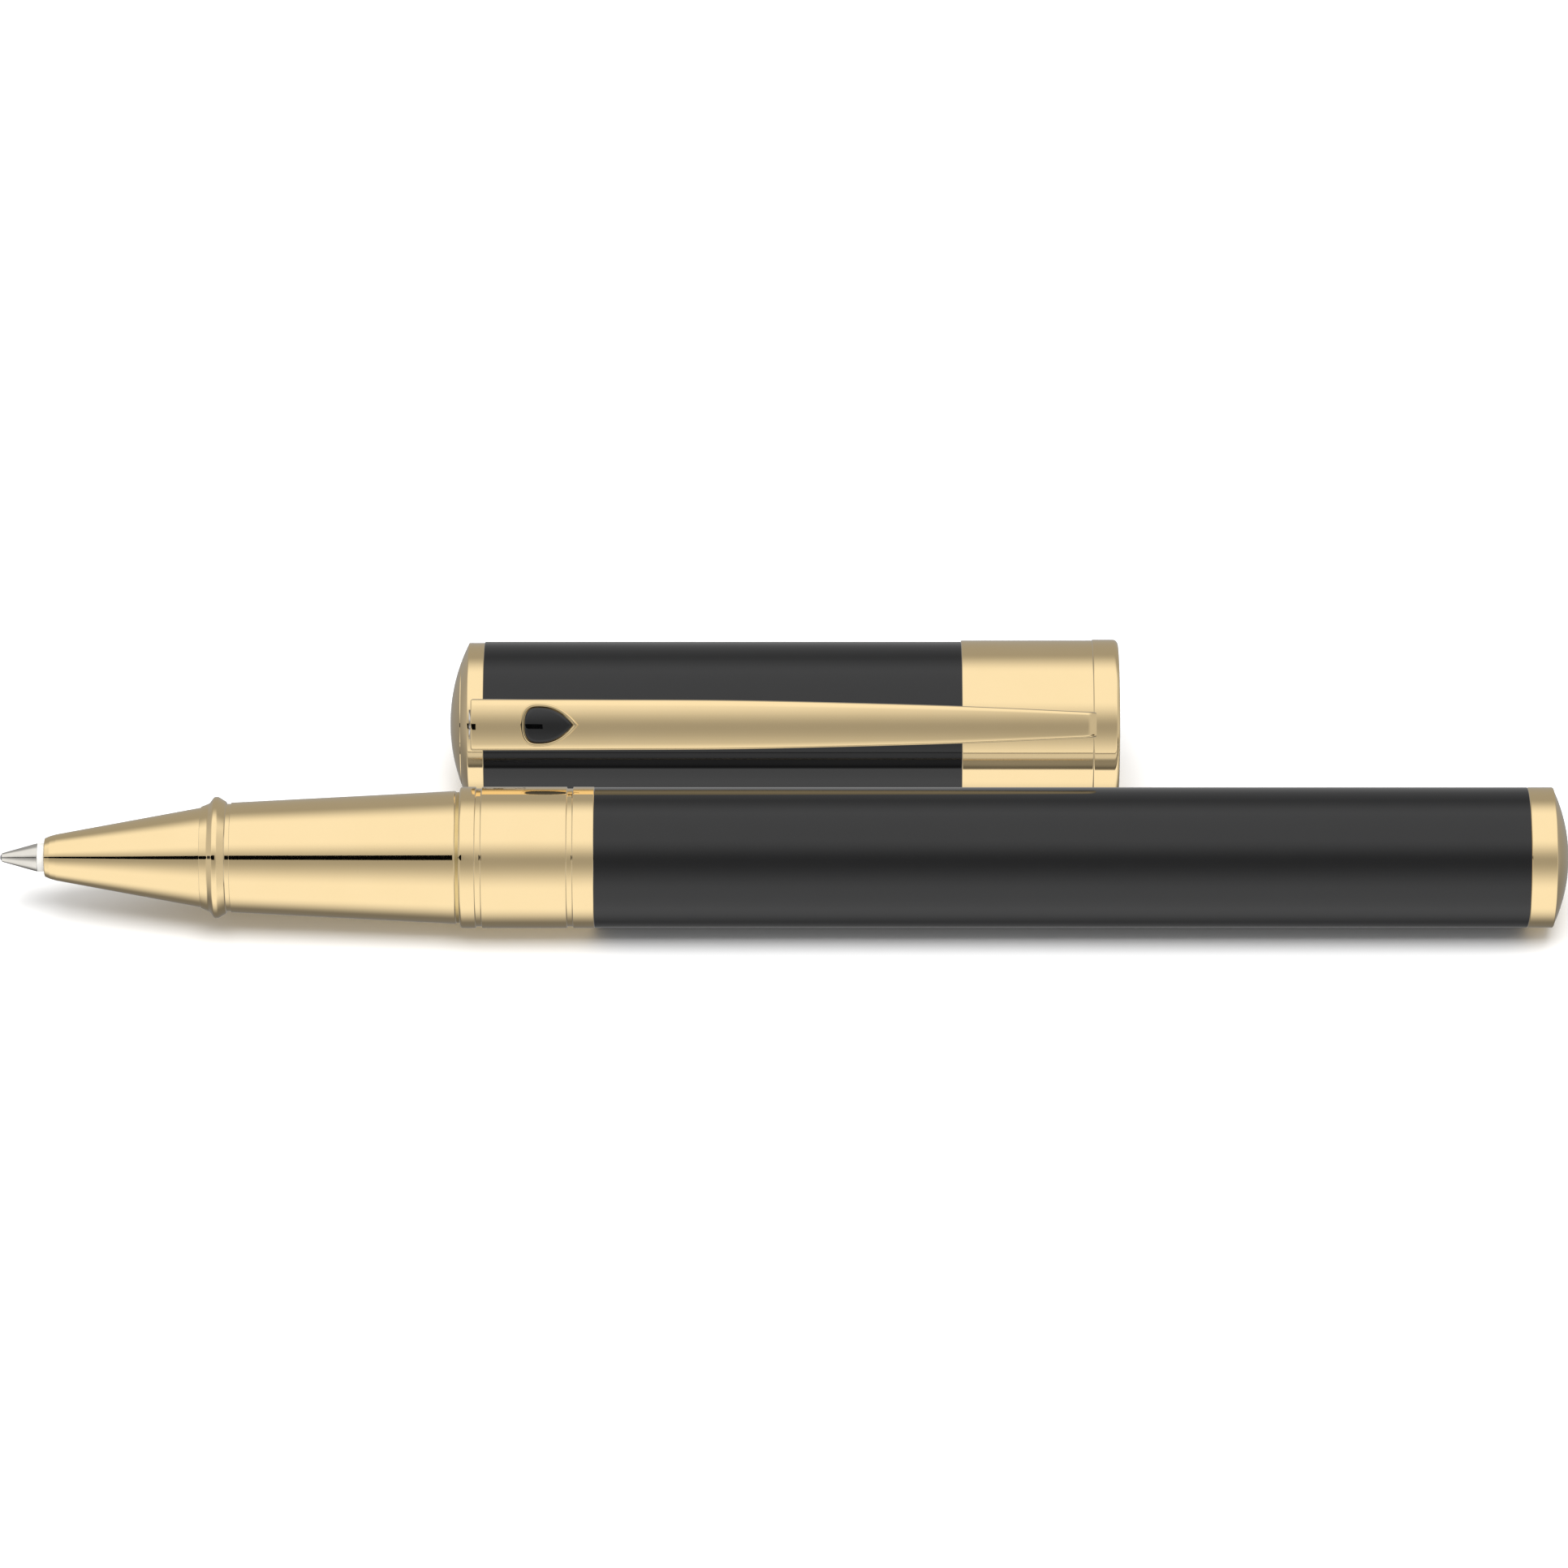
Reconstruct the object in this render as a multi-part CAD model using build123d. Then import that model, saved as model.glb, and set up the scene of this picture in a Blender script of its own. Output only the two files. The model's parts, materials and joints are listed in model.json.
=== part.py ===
"""Rollerball pen with its cap lying beside it: every piece as its own solid.

Frame: millimetres, +Z up. The pen lies along X with its writing tip at -X, the cap lies behind it
with its closed end at -X, and the clip of the cap faces the front and upwards.
Pen pieces are turned about X from outlines of (distance behind the ball, radius); cap pieces from
outlines of (distance behind the crown's top, radius). Both are then moved to where they lie.
"""
from build123d import *

import math
import os

# ---- Refill, which sets the pen's length ----------------------------------------------------
refill_length = 110.5
refill_radius = 3.05
refill_wall = 0.3
refill_neck_radius = 1.21
refill_neck_length = 3.7   # slim plastic neck behind the metal tip
refill_step_radius = 2.0
refill_step_end = 15.0
refill_shoulder = 0.5      # length of the slope from the step to the tube
refill_spigot_length = 2.3  # neck inside the refill's tube
refill_plug_length = 5.0
refill_plug_head = 2.5
refill_vent_radius = 0.3
ball_radius = 0.35
tip_cone_length = 3.2
tip_shank_length = 2.6
tip_shank_wall = 0.35
ink_feed_radius = 0.4

# ---- Lengths of the pen --------------------------------------------------------------------
tip_reach = 3.8            # refill that shows in front of the nose cone
nose_length = 13.3
collar_length = 2.55
grip_length = 19.15
flange_length = 0.3        # thin shoulder of the core, seen as a fine line behind the grip
band_length = 11.4
spring_length = 6.9
spring_seat_length = 3.7
tail_plug_length = 8.6
tail_ring_length = 2.2
tail_dome_height = 1.3

# ---- Radii and walls of the pen ------------------------------------------------------------
barrel_radius = 5.965
barrel_wall = 0.965
band_proud = 0.035         # band over the barrel's surface
spigot_wall = 0.43         # barrel tube under the front band
groove_depth = 0.15
groove_width = 0.55
front_groove_at = 1.6      # middles of the band's grooves, behind its front edge
rear_groove_at = 9.35
grip_step = 0.34           # grip sleeve below the band at its rear
core_wall = 0.8
grip_wall = 0.69           # grip sleeve at its front
nose_step = 0.42           # nose cone below the grip sleeve
ridge_height = 0.48
nose_front_wall = 0.7
nose_spigot_wall = 0.38
nose_spigot_length = 3.57
thread_length = 8.3
bush_wall = 0.52
seal_thickness = 0.6
spring_radius = 2.3
spring_wire = 0.4
spring_turns = 5
spring_post_length = 3.0
tail_stud_radius = 2.0
tail_stud_length = 7.5
tail_dome_step = 0.165

# ---- Cap -----------------------------------------------------------------------------------
tip_space = 7.0            # from the crown's top to the ball, with the cap on
crown_height = 1.6
crown_ring_length = 1.4
cap_band_length = 11.25
cap_lip_length = 2.25
mouth_bush_wall = 0.31
cap_wall = 0.55
cap_spigot_wall = 0.3      # cap tube under the cap band
cap_band_proud = 0.11
cap_lip_proud = 0.18
cap_rim_round = 0.45
crown_step = 0.1
crown_spigot_length = 1.65
crown_boss_radius = 2.4
crown_boss_length = 1.7
crown_screw_radius = 1.25
crown_screw_head_radius = 2.0
crown_screw_head_height = 0.8
inner_cap_floor = 0.95
inner_cap_slope = 0.5
medallion_margin = 1.33    # from the dome's rim to the engraved ring
medallion_groove_width = 0.16
medallion_groove_depth = 0.09
clutch_ring_width = 0.8
clutch_ring_depth = 0.2
clutch_ring_slot = 1.6

# ---- Clip ----------------------------------------------------------------------------------
clip_set_back = 0.4        # front of the clip behind the crown ring's front
clip_end_gap = 2.05        # end of the clip in front of the cap's rim
clip_rise = 2.0            # ridge of the clip over the cap tube
clip_thickness = 1.0
clip_fall = 0.35           # drop of the clip's ridge from root to end
clip_crown_radius = 7.5    # cross curvature of its face
clip_half_widths = [(0.0, 2.18), (0.21, 2.15), (0.42, 2.09), (0.61, 1.87), (0.8, 1.56), (1.0, 1.06)]
clip_root_length = 1.7
clip_root_slope = 3.0
clip_pad_length = 2.6
clip_leg_width = 2.4
clip_foot_length = 1.6
clip_foot_cover = 0.8      # foot of the leg below the crown ring's surface
pivot_cover = 1.5
pivot_pin_radius = 0.4
pivot_pin_length = 5.4
clip_foot_tail = 1.5       # leg below its pivot
clip_spring_thickness = 0.2
clip_spring_height = 1.3
stone_front = 4.6          # front of the stone, behind the clip's front
stone_length = 4.2
stone_half_width = 1.52
stone_rise = 0.42
stone_dome_radius = 6.0
bezel_wall = 0.3
bezel_rise = 0.2
bezel_seat_depth = 0.45
bezel_floor = 0.15
clip_roll = 51.5           # degrees that the clip leans from upright towards the front

# ---- Clearances and small rounds -----------------------------------------------------------
press_gap = 0.02           # between pieces of one body that are nested
turn_gap = 0.06            # between pieces that turn or slide on each other
refill_gap = 0.1           # refill in the core
nose_gap = 1.06            # inner cap round the nose cone
cap_gap = 0.12             # cap mouth over the band
flex_gap = 0.2             # round the clip's leg
edge_round = 0.12
face_gap = 0.05            # between shoulders that don't clamp

# ---- Where the pen and the cap lie ---------------------------------------------------------
axis_spacing = 16.5        # between the axes of pen and cap, along Y

# ---- Stations behind the ball --------------------------------------------------------------
nose_rear = tip_reach + nose_length
collar_rear = nose_rear + collar_length
grip_rear = collar_rear + grip_length
band_front = grip_rear + flange_length
bush_front = band_front + flange_length + seal_thickness
band_rear = band_front + band_length
spring_rear = refill_length + spring_length
plug_front = spring_rear + spring_seat_length
barrel_rear = plug_front + tail_plug_length
tail_ring_rear = barrel_rear + tail_ring_length
pen_length = tail_ring_rear + tail_dome_height
neck_rear = tip_cone_length + refill_neck_length
neck_slope_rear = neck_rear + 1.6
refill_tube_front = refill_step_end + refill_shoulder + 0.2
neck_spigot_rear = refill_tube_front + refill_spigot_length

# ---- Radii of the pen that follow from its walls -------------------------------------------
barrel_bore = barrel_radius - barrel_wall
band_radius = barrel_radius + band_proud
spigot_radius = barrel_bore + spigot_wall
bush_bore = barrel_bore - press_gap - bush_wall
thread_radius = bush_bore - turn_gap
core_bore = refill_radius + refill_gap
core_radius = core_bore + core_wall
sleeve_bore = core_radius + press_gap
grip_front_radius = sleeve_bore + grip_wall
grip_rear_radius = max(band_radius - grip_step, grip_front_radius)
collar_radius = grip_front_radius + ridge_height
nose_rear_radius = grip_front_radius - nose_step
nose_neck_bore = refill_neck_radius + turn_gap
nose_front_radius = nose_neck_bore + nose_front_wall
nose_spigot_radius = core_bore + nose_spigot_wall
refill_bore = refill_radius - refill_wall - press_gap
tail_dome_radius = barrel_radius - tail_dome_step

# ---- Stations behind the crown's top -------------------------------------------------------
cap_length = band_rear + tip_space
crown_ring_rear = crown_height + crown_ring_length
cap_band_rear = cap_length - cap_lip_length
cap_tube_rear = cap_band_rear - cap_band_length
crown_spigot_rear = crown_ring_rear + crown_spigot_length
inner_cap_front = crown_spigot_rear + press_gap
inner_cap_step = nose_rear + tip_space - inner_cap_slope - flex_gap
inner_cap_mouth = band_front + tip_space - press_gap
clutch_middle = band_front + front_groove_at + tip_space
clip_front = crown_height + clip_set_back
clip_end = cap_length - clip_end_gap
clip_length = clip_end - clip_front
clip_leg_length = crown_ring_rear - clip_front - face_gap
pivot_at = clip_front + clip_foot_length / 2

# ---- Radii of the cap that follow from what goes into it ------------------------------------
mouth_bore = band_radius + cap_gap
cap_tube_bore = mouth_bore + mouth_bush_wall + press_gap
cap_tube_radius = cap_tube_bore + cap_wall
cap_spigot_radius = cap_tube_bore + cap_spigot_wall
cap_band_radius = cap_tube_radius + cap_band_proud
cap_lip_radius = cap_tube_radius + cap_lip_proud
crown_radius = cap_tube_radius - crown_step
inner_cap_radius = cap_tube_bore - press_gap
inner_cap_bore = max(grip_rear_radius, collar_radius) + cap_gap
inner_cap_step_radius = nose_rear_radius + nose_gap
clip_top = cap_tube_radius + clip_rise
pivot_height = crown_radius - pivot_cover
clip_foot_top = crown_radius - clip_foot_cover
clip_leg_foot = pivot_height - clip_foot_tail

# ---- Total box -----------------------------------------------------------------------------
overall_width = axis_spacing + band_radius + cap_lip_radius
pen_axis = Vector(-pen_length / 2, band_radius - overall_width / 2, band_radius)
cap_axis = Vector(-cap_length / 2, pen_axis.Y + axis_spacing, cap_lip_radius)


def turned(*corners, rounds=()):
    """Solid of revolution about X from (along, radius) corners; rounds lists (corner, radius)."""
    face = make_face(Polyline(*corners, close=True))
    for corner, radius in rounds:
        vertex = face.vertices().sort_by_distance(Vector(*corner))[0]
        face = fillet(vertex, radius)
    return revolve(face, Axis.X)


def tube(start, end, outer, inner, rounding=0.0):
    """Plain tube about X, with both outer edges rounded if a rounding is given."""
    rounds = [((start, outer), rounding), ((end, outer), rounding)] if rounding else ()
    return turned((start, inner), (start, outer), (end, outer), (end, inner), rounds=rounds)


def rod(start, end, radius):
    """Plain rod about X."""
    return turned((start, 0), (start, radius), (end, radius), (end, 0))


def dome(base, height, radius, side):
    """Low spherical cap about X on a flat base, bulging towards side, which is -1 or +1."""
    sphere_radius = (radius**2 + height**2) / (2 * height)
    half_angle = math.asin(radius / sphere_radius) / 2
    middle_radius = sphere_radius * math.sin(half_angle)
    middle = base + side * (height - sphere_radius * (1 - math.cos(half_angle)))
    top = (base + side * height, 0)
    arc = ThreePointArc((base, radius), (middle, middle_radius), top)
    return revolve(make_face(arc + Polyline(top, (base, 0), (base, radius))), Axis.X)


def shield(front, length, half_width, margin=0.0):
    """Shield outline in plan: a bowed front, two short shoulders and a point at the rear."""
    corner, shoulder = front + 0.15 * length, front + 0.46 * length
    flank = (front + 0.77 * length, 0.6 * half_width)
    half = ThreePointArc((front, 0), (front + 0.05 * length, 0.6 * half_width), (corner, half_width))
    half += Line((corner, half_width), (shoulder, half_width))
    half += ThreePointArc((shoulder, half_width), flank, (front + length, 0))
    outline = make_face(half + mirror(half, Plane.XZ))
    return offset(outline, margin, kind=Kind.ARC) if margin else outline


def lay_pen(solid):
    """Moves a piece from the pen's own axis to where the pen lies."""
    return Pos(pen_axis) * solid


def lay_cap(solid):
    """Rolls a piece of the cap to the clip's side and moves it to where the cap lies."""
    return Pos(cap_axis) * Rot(clip_roll, 0, 0) * solid


# ---- Barrel --------------------------------------------------------------------------------
def barrel_tube():
    """Lacquered brass tube with a thinner spigot at the front, under the band."""
    front, rear = (band_rear, barrel_radius), (barrel_rear, barrel_radius)
    return turned(
        (bush_front, barrel_bore), (bush_front, spigot_radius), (band_rear, spigot_radius), front, rear,
        (barrel_rear, barrel_bore),
        rounds=[(front, edge_round / 2), (rear, edge_round / 2)],
    )


def front_band():
    """Gilt band over the spigot, with a turned-in front lip and two rounded grooves."""
    lip_rear, lip_bore = bush_front - face_gap, barrel_bore - face_gap
    band_bore = spigot_radius + press_gap
    front, rear = (band_front, band_radius), (band_rear, band_radius)
    band = turned(
        (band_front, lip_bore), front, rear, (band_rear, band_bore), (lip_rear, band_bore),
        (lip_rear, lip_bore),
        rounds=[(front, 2 * edge_round), (rear, edge_round / 2)],
    )
    floor, above = band_radius - groove_depth, band_radius + groove_depth
    for middle in (band_front + front_groove_at, band_front + rear_groove_at):
        start, end = middle - groove_width / 2, middle + groove_width / 2
        band -= turned(
            (start, above), (start, floor), (end, floor), (end, above),
            rounds=[((start, floor), edge_round), ((end, floor), edge_round)],
        )
    return band


def thread_bush():
    """Brass bush in the mouth of the barrel, which takes the section's thread."""
    return tube(bush_front, bush_front + thread_length, barrel_bore - press_gap, bush_bore)


def tail_ring():
    """Gilt ring behind the lacquered tube."""
    return tube(barrel_rear, tail_ring_rear, barrel_radius, tail_stud_radius + press_gap, edge_round)


def tail_dome():
    """Low gilt dome whose stud holds the tail ring on the plug."""
    button = dome(tail_ring_rear, tail_dome_height, tail_dome_radius, +1)
    return button + rod(barrel_rear - tail_stud_length, tail_ring_rear, tail_stud_radius)


def tail_plug():
    """Brass plug in the rear of the barrel, bored for the stud."""
    outer, hole = barrel_bore - press_gap, tail_stud_radius + press_gap
    floor = barrel_rear - tail_stud_length - face_gap
    return turned(
        (plug_front, 0), (plug_front, outer), (barrel_rear, outer), (barrel_rear, hole), (floor, hole),
        (floor, 0),
    )


def spring_seat():
    """Plastic seat in front of the plug, with a post that centres the spring."""
    post_front, post = spring_rear - spring_post_length, spring_radius - spring_wire - turn_gap
    outer = barrel_bore - press_gap
    return turned(
        (post_front, 0), (post_front, post), (spring_rear, post), (spring_rear, outer), (plug_front, outer),
        (plug_front, 0),
    )


def refill_spring():
    """Wire spring between the refill and its seat."""
    end_gap = spring_wire / 2 + press_gap
    length, radius = spring_length - 2 * end_gap, spring_radius - spring_wire / 2
    wire_path = Helix(length / spring_turns, length, radius)
    section = Plane(wire_path @ 0, z_dir=wire_path % 0) * Circle(spring_wire / 2)
    return Pos(refill_length + end_gap, 0, 0) * Rot(0, 90, 0) * sweep(section, wire_path)


# ---- Grip section --------------------------------------------------------------------------
def nose_cone():
    """Gilt cone round the refill's tip; its rear spigot fits in the core."""
    lip, shoulder = (tip_reach, nose_front_radius - 0.34), (tip_reach + 0.48, nose_front_radius - 0.14)
    step_bore = refill_step_radius + 2 * turn_gap
    spigot_rear = nose_rear + nose_spigot_length
    step_rear = refill_step_end + refill_shoulder - core_bore + step_bore
    return turned(
        (tip_reach, nose_neck_bore), lip, shoulder, (tip_reach + 1, nose_front_radius),
        (nose_rear, nose_rear_radius), (nose_rear, nose_spigot_radius), (spigot_rear, nose_spigot_radius),
        (spigot_rear, core_bore), (refill_step_end, core_bore), (step_rear, step_bore),
        (neck_slope_rear, step_bore), (neck_rear, nose_neck_bore),
        rounds=[(lip, edge_round), (shoulder, 0.4)],
    )


def grip_collar():
    """Gilt ridge that stops the fingers, with a narrow flat top and a fine groove behind it."""
    top_front, top_rear = nose_rear + 0.44 * collar_length, nose_rear + 0.58 * collar_length
    groove, groove_front = grip_front_radius - 0.1, collar_rear - 0.36
    return turned(
        (nose_rear, sleeve_bore), (nose_rear, nose_rear_radius + 0.08),
        (nose_rear + 0.28 * collar_length, grip_front_radius - 0.06),
        (top_front, collar_radius), (top_rear, collar_radius),
        (groove_front - 0.06, grip_front_radius + 0.08), (groove_front, groove), (collar_rear, groove),
        (collar_rear, sleeve_bore),
        rounds=[((top_front, collar_radius), 0.2), ((top_rear, collar_radius), 0.3)],
    )


def grip_sleeve():
    """Gilt sleeve under the fingers, gently tapered."""
    rear = (grip_rear, grip_rear_radius)
    return turned(
        (collar_rear, sleeve_bore), (collar_rear, grip_front_radius), rear, (grip_rear, sleeve_bore),
        rounds=[(rear, 1.5 * edge_round)],
    )


def section_core():
    """Brass core that carries nose cone, collar and sleeve, with the screwed spigot behind."""
    front, rear = nose_rear + press_gap, band_front + thread_length
    counterbore = nose_spigot_radius + press_gap
    counterbore_rear = nose_rear + nose_spigot_length + press_gap
    flange = grip_rear_radius - 0.1
    return turned(
        (front, counterbore), (front, core_radius), (grip_rear, core_radius), (grip_rear, flange),
        (band_front, flange), (band_front, thread_radius), (rear, thread_radius), (rear, core_bore),
        (counterbore_rear, core_bore), (counterbore_rear, counterbore),
    )


def section_seal():
    """Flat seal round the spigot, in front of the bush."""
    start, outer = band_front + press_gap, barrel_bore - face_gap - 2 * turn_gap
    return tube(start, start + seal_thickness, outer, thread_radius + press_gap)


# ---- Refill --------------------------------------------------------------------------------
def tip_ball():
    """Writing ball."""
    return Pos(ball_radius, 0, 0) * Sphere(ball_radius)


def tip_cone():
    """Turned metal tip that holds the ball, with a shank in the plastic neck."""
    shank_rear, shank = tip_cone_length + tip_shank_length, refill_neck_radius - tip_shank_wall
    lip = ball_radius / 2
    cone = turned(
        (lip, 0), (lip, ball_radius + press_gap), (2 * ball_radius, 0.43 * refill_neck_radius),
        (0.86 * tip_cone_length, 0.91 * refill_neck_radius), (tip_cone_length, refill_neck_radius),
        (tip_cone_length, shank), (shank_rear, shank), (shank_rear, 0),
    )
    cone -= Pos(ball_radius, 0, 0) * Sphere(ball_radius + press_gap)
    return cone - rod(2 * ball_radius - 0.1, shank_rear + 1, ink_feed_radius + press_gap)


def refill_neck():
    """White plastic front of the refill, stepped up to the tube."""
    hole = refill_neck_radius - tip_shank_wall + press_gap
    hole_rear = tip_cone_length + tip_shank_length + press_gap
    shoulder_rear = refill_step_end + refill_shoulder
    feed = ink_feed_radius + press_gap
    return turned(
        (tip_cone_length, hole), (tip_cone_length, refill_neck_radius), (neck_rear, refill_neck_radius),
        (neck_slope_rear, refill_step_radius), (refill_step_end, refill_step_radius),
        (shoulder_rear, refill_radius), (refill_tube_front, refill_radius), (refill_tube_front, refill_bore),
        (neck_spigot_rear, refill_bore), (neck_spigot_rear, feed), (hole_rear, feed), (hole_rear, hole),
    )


def ink_feed():
    """Fibre rod that brings ink from the reservoir to the ball."""
    return rod(2 * ball_radius + 0.2, neck_spigot_rear, ink_feed_radius)


def ink_reservoir():
    """Fibre filling that holds the ink."""
    return rod(neck_spigot_rear + press_gap, refill_length - refill_plug_length, refill_bore)


def refill_tube():
    """Metal tube of the refill."""
    rear = refill_length - refill_plug_head
    return tube(refill_tube_front + press_gap, rear, refill_radius, refill_radius - refill_wall)


def refill_end_plug():
    """Plastic plug in the refill's rear, with a vent."""
    front = refill_length - refill_plug_length + press_gap
    step = refill_length - refill_plug_head + press_gap
    head = refill_radius - press_gap
    return turned(
        (front, refill_vent_radius), (front, refill_bore), (step, refill_bore), (step, head),
        (refill_length, head), (refill_length, refill_vent_radius),
    )


# ---- Cap -----------------------------------------------------------------------------------
def crown_dome():
    """Low gilt dome with an engraved ring round a bare middle, and a boss for the screw."""
    radius = crown_radius - edge_round
    ring_outer = radius - medallion_margin
    button = dome(crown_height, crown_height, radius, -1)
    sunk = dome(crown_height + medallion_groove_depth, crown_height, radius, -1)
    button -= tube(0, crown_height, ring_outer, ring_outer - medallion_groove_width) - sunk
    boss_rear = crown_height + crown_boss_length
    button += rod(crown_height, boss_rear, crown_boss_radius)
    return button - rod(crown_height - flex_gap, boss_rear + 1, crown_screw_radius + press_gap)


def crown_ring():
    """Gilt ring under the dome, slotted for the clip's leg and bored for its pivot pin."""
    spigot, boss = cap_tube_bore - press_gap, crown_boss_radius + press_gap
    front, rear = (crown_height, crown_radius), (crown_ring_rear, crown_radius)
    ring = turned(
        (crown_height, boss), front, rear, (crown_ring_rear, spigot), (crown_spigot_rear, spigot),
        (crown_spigot_rear, boss),
        rounds=[(front, edge_round), (rear, edge_round / 2)],
    )
    slot_width, slot_floor = clip_leg_width + 2 * turn_gap, clip_leg_foot - flex_gap
    ring -= leg_block(clip_front - flex_gap, crown_spigot_rear + 1, slot_width, slot_floor, crown_radius + 1)
    return ring - pivot_rod(pivot_pin_radius + press_gap, pivot_pin_length + 2 * press_gap)


def leg_block(front, rear, width, bottom, top):
    """Block across the cap's middle plane, between two stations and two heights over the axis."""
    block = Box(rear - front, width, top - bottom, align=(Align.MIN, Align.CENTER, Align.MIN))
    return Pos(front, 0, bottom) * block


def pivot_rod(radius, length):
    """Rod across the cap at the clip's pivot."""
    return Pos(pivot_at, 0, pivot_height) * Rot(90, 0, 0) * Cylinder(radius, length)


def clip_pin():
    """Steel pivot pin of the clip."""
    return pivot_rod(pivot_pin_radius, pivot_pin_length)


def clip_spring():
    """Bent leaf that pushes the clip's leg forwards and so the clip's end onto the cap."""
    front, rear = clip_front + clip_foot_length + flex_gap, crown_spigot_rear - press_gap
    width, foot = clip_leg_width - 2 * turn_gap, clip_leg_foot - flex_gap + press_gap
    leaf = leg_block(front, front + clip_spring_thickness, width, foot, foot + clip_spring_height)
    return leaf + leg_block(front, rear, width, foot, foot + clip_spring_thickness)


def cap_tube():
    """Lacquered brass tube of the cap, with a thinner spigot under the cap band."""
    front, rear = (crown_ring_rear, cap_tube_radius), (cap_tube_rear, cap_tube_radius)
    spigot_rear = cap_band_rear - face_gap
    return turned(
        (crown_ring_rear, cap_tube_bore), front, rear, (cap_tube_rear, cap_spigot_radius),
        (spigot_rear, cap_spigot_radius), (spigot_rear, cap_tube_bore),
        rounds=[(front, edge_round / 2), (rear, edge_round / 2)],
    )


def cap_band():
    """Gilt band round the mouth half of the cap."""
    return tube(cap_tube_rear, cap_band_rear, cap_band_radius, cap_spigot_radius + press_gap, edge_round / 2)


def cap_lip_ring():
    """Gilt lip of the cap, with a well rounded rim."""
    front, rim = (cap_band_rear, cap_lip_radius), (cap_length, cap_lip_radius)
    mouth = (cap_length, mouth_bore)
    return turned(
        (cap_band_rear, mouth_bore), front, rim, mouth,
        rounds=[(front, edge_round), (rim, cap_rim_round), (mouth, cap_rim_round / 2)],
    )


def mouth_bush():
    """Brass bush inside the mouth, with a channel that carries the clutch ring."""
    bush = tube(inner_cap_mouth + press_gap, cap_band_rear - press_gap, inner_cap_radius, mouth_bore)
    half, depth = clutch_ring_width / 2 + press_gap, clutch_ring_depth
    return bush - tube(clutch_middle - half, clutch_middle + half, mouth_bore + depth, mouth_bore - depth)


def clutch_ring():
    """Split spring ring that clicks into the band's front groove when the cap is on."""
    half, outer = clutch_ring_width / 2, mouth_bore + clutch_ring_depth - press_gap
    ring = tube(clutch_middle - half, clutch_middle + half, outer, band_radius + turn_gap / 2)
    return ring - Pos(clutch_middle, 0, -mouth_bore) * Box(2 * clutch_ring_width, clutch_ring_slot, 2)


def inner_cap():
    """Plastic liner with a closed front, which keeps the tip from drying out."""
    hole, floor = crown_screw_radius + press_gap, inner_cap_front + inner_cap_floor
    return turned(
        (inner_cap_front, hole), (inner_cap_front, inner_cap_radius), (inner_cap_mouth, inner_cap_radius),
        (inner_cap_mouth, inner_cap_bore), (inner_cap_step + inner_cap_slope, inner_cap_bore),
        (inner_cap_step, inner_cap_step_radius), (floor, inner_cap_step_radius), (floor, hole),
    )


def crown_screw():
    """Screw from inside that clamps liner, ring and dome; its head has a driver slot."""
    tip, seat = crown_height + flex_gap, inner_cap_front + inner_cap_floor
    head_rear, slot_depth = seat + crown_screw_head_height, crown_screw_head_height / 2
    head = (head_rear, crown_screw_head_radius)
    screw = turned(
        (tip, 0), (tip, crown_screw_radius), (seat, crown_screw_radius), (seat, crown_screw_head_radius),
        head, (head_rear, 0),
        rounds=[(head, 2 * edge_round)],
    )
    return screw - Pos(head_rear, 0, 0) * Box(2 * slot_depth, 3 * crown_screw_head_radius, slot_depth)


# ---- Clip ----------------------------------------------------------------------------------
def clip_plan():
    """Clip outline seen from above: parallel at the root, then drawn in to the end."""
    edge = [(clip_front + share * clip_length, half) for share, half in clip_half_widths]
    side = Spline(*edge, tangents=[(1, 0), (1, -0.06)])
    half = Line((clip_front, 0), edge[0]) + side + Line(edge[-1], (clip_end, 0))
    return make_face(half + mirror(half, Plane.XZ))


def clip_side():
    """Clip outline seen from the side: root block, sprung arm and the pad at its end."""
    underside, top_end = clip_top - clip_thickness, clip_top - clip_fall
    root_rear, pad_front = clip_front + clip_root_length, clip_end - clip_pad_length
    pad_level = cap_band_radius + turn_gap
    nose_start, nose_end = (clip_end - 1.2, top_end), (clip_end, top_end - 0.9)
    pad_end, pad_low = (clip_end - 0.3, pad_level + 0.15), (clip_end - 1.2, pad_level)
    pad_start = (pad_front, underside - clip_fall)
    outline = Polyline(
        pad_start, (root_rear + clip_root_slope, underside), (root_rear, crown_radius),
        (clip_front, crown_radius), (clip_front, clip_top), nose_start,
    )
    outline += ThreePointArc(nose_start, (clip_end - 0.3, top_end - 0.28), nose_end)
    outline += Line(nose_end, pad_end)
    outline += ThreePointArc(pad_end, pad_low, pad_start)
    return make_face(Plane.XZ * outline)


def clip():
    """Gilt clip: crowned arm, a pad at its end and a leg at its root."""
    arm = extrude(clip_plan(), clip_top + 1) & extrude(clip_side(), 2 * clip_leg_width, both=True)
    along_x = Rot(0, 90, 0)
    long_cylinder = Cylinder(clip_crown_radius, clip_end + 1, align=(Align.CENTER, Align.CENTER, Align.MIN))
    arm = arm & (Pos(0, 0, clip_top - clip_crown_radius) * along_x * long_cylinder)
    arm -= rod(0, cap_length + 1, cap_tube_radius + turn_gap + press_gap)
    leg_top, leg_rear = clip_top - clip_thickness, clip_front + clip_leg_length
    leg = leg_block(clip_front, leg_rear, clip_leg_width, clip_leg_foot, leg_top)
    foot_rear = clip_front + clip_foot_length
    leg += leg_block(clip_front, foot_rear, clip_leg_width, clip_leg_foot, clip_foot_top)
    seat = extrude(stone_outline(bezel_wall + press_gap), 2)
    body = arm + leg - Pos(0, 0, clip_top - bezel_seat_depth) * seat
    return body - pivot_rod(pivot_pin_radius + turn_gap, 2 * clip_leg_width)


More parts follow.
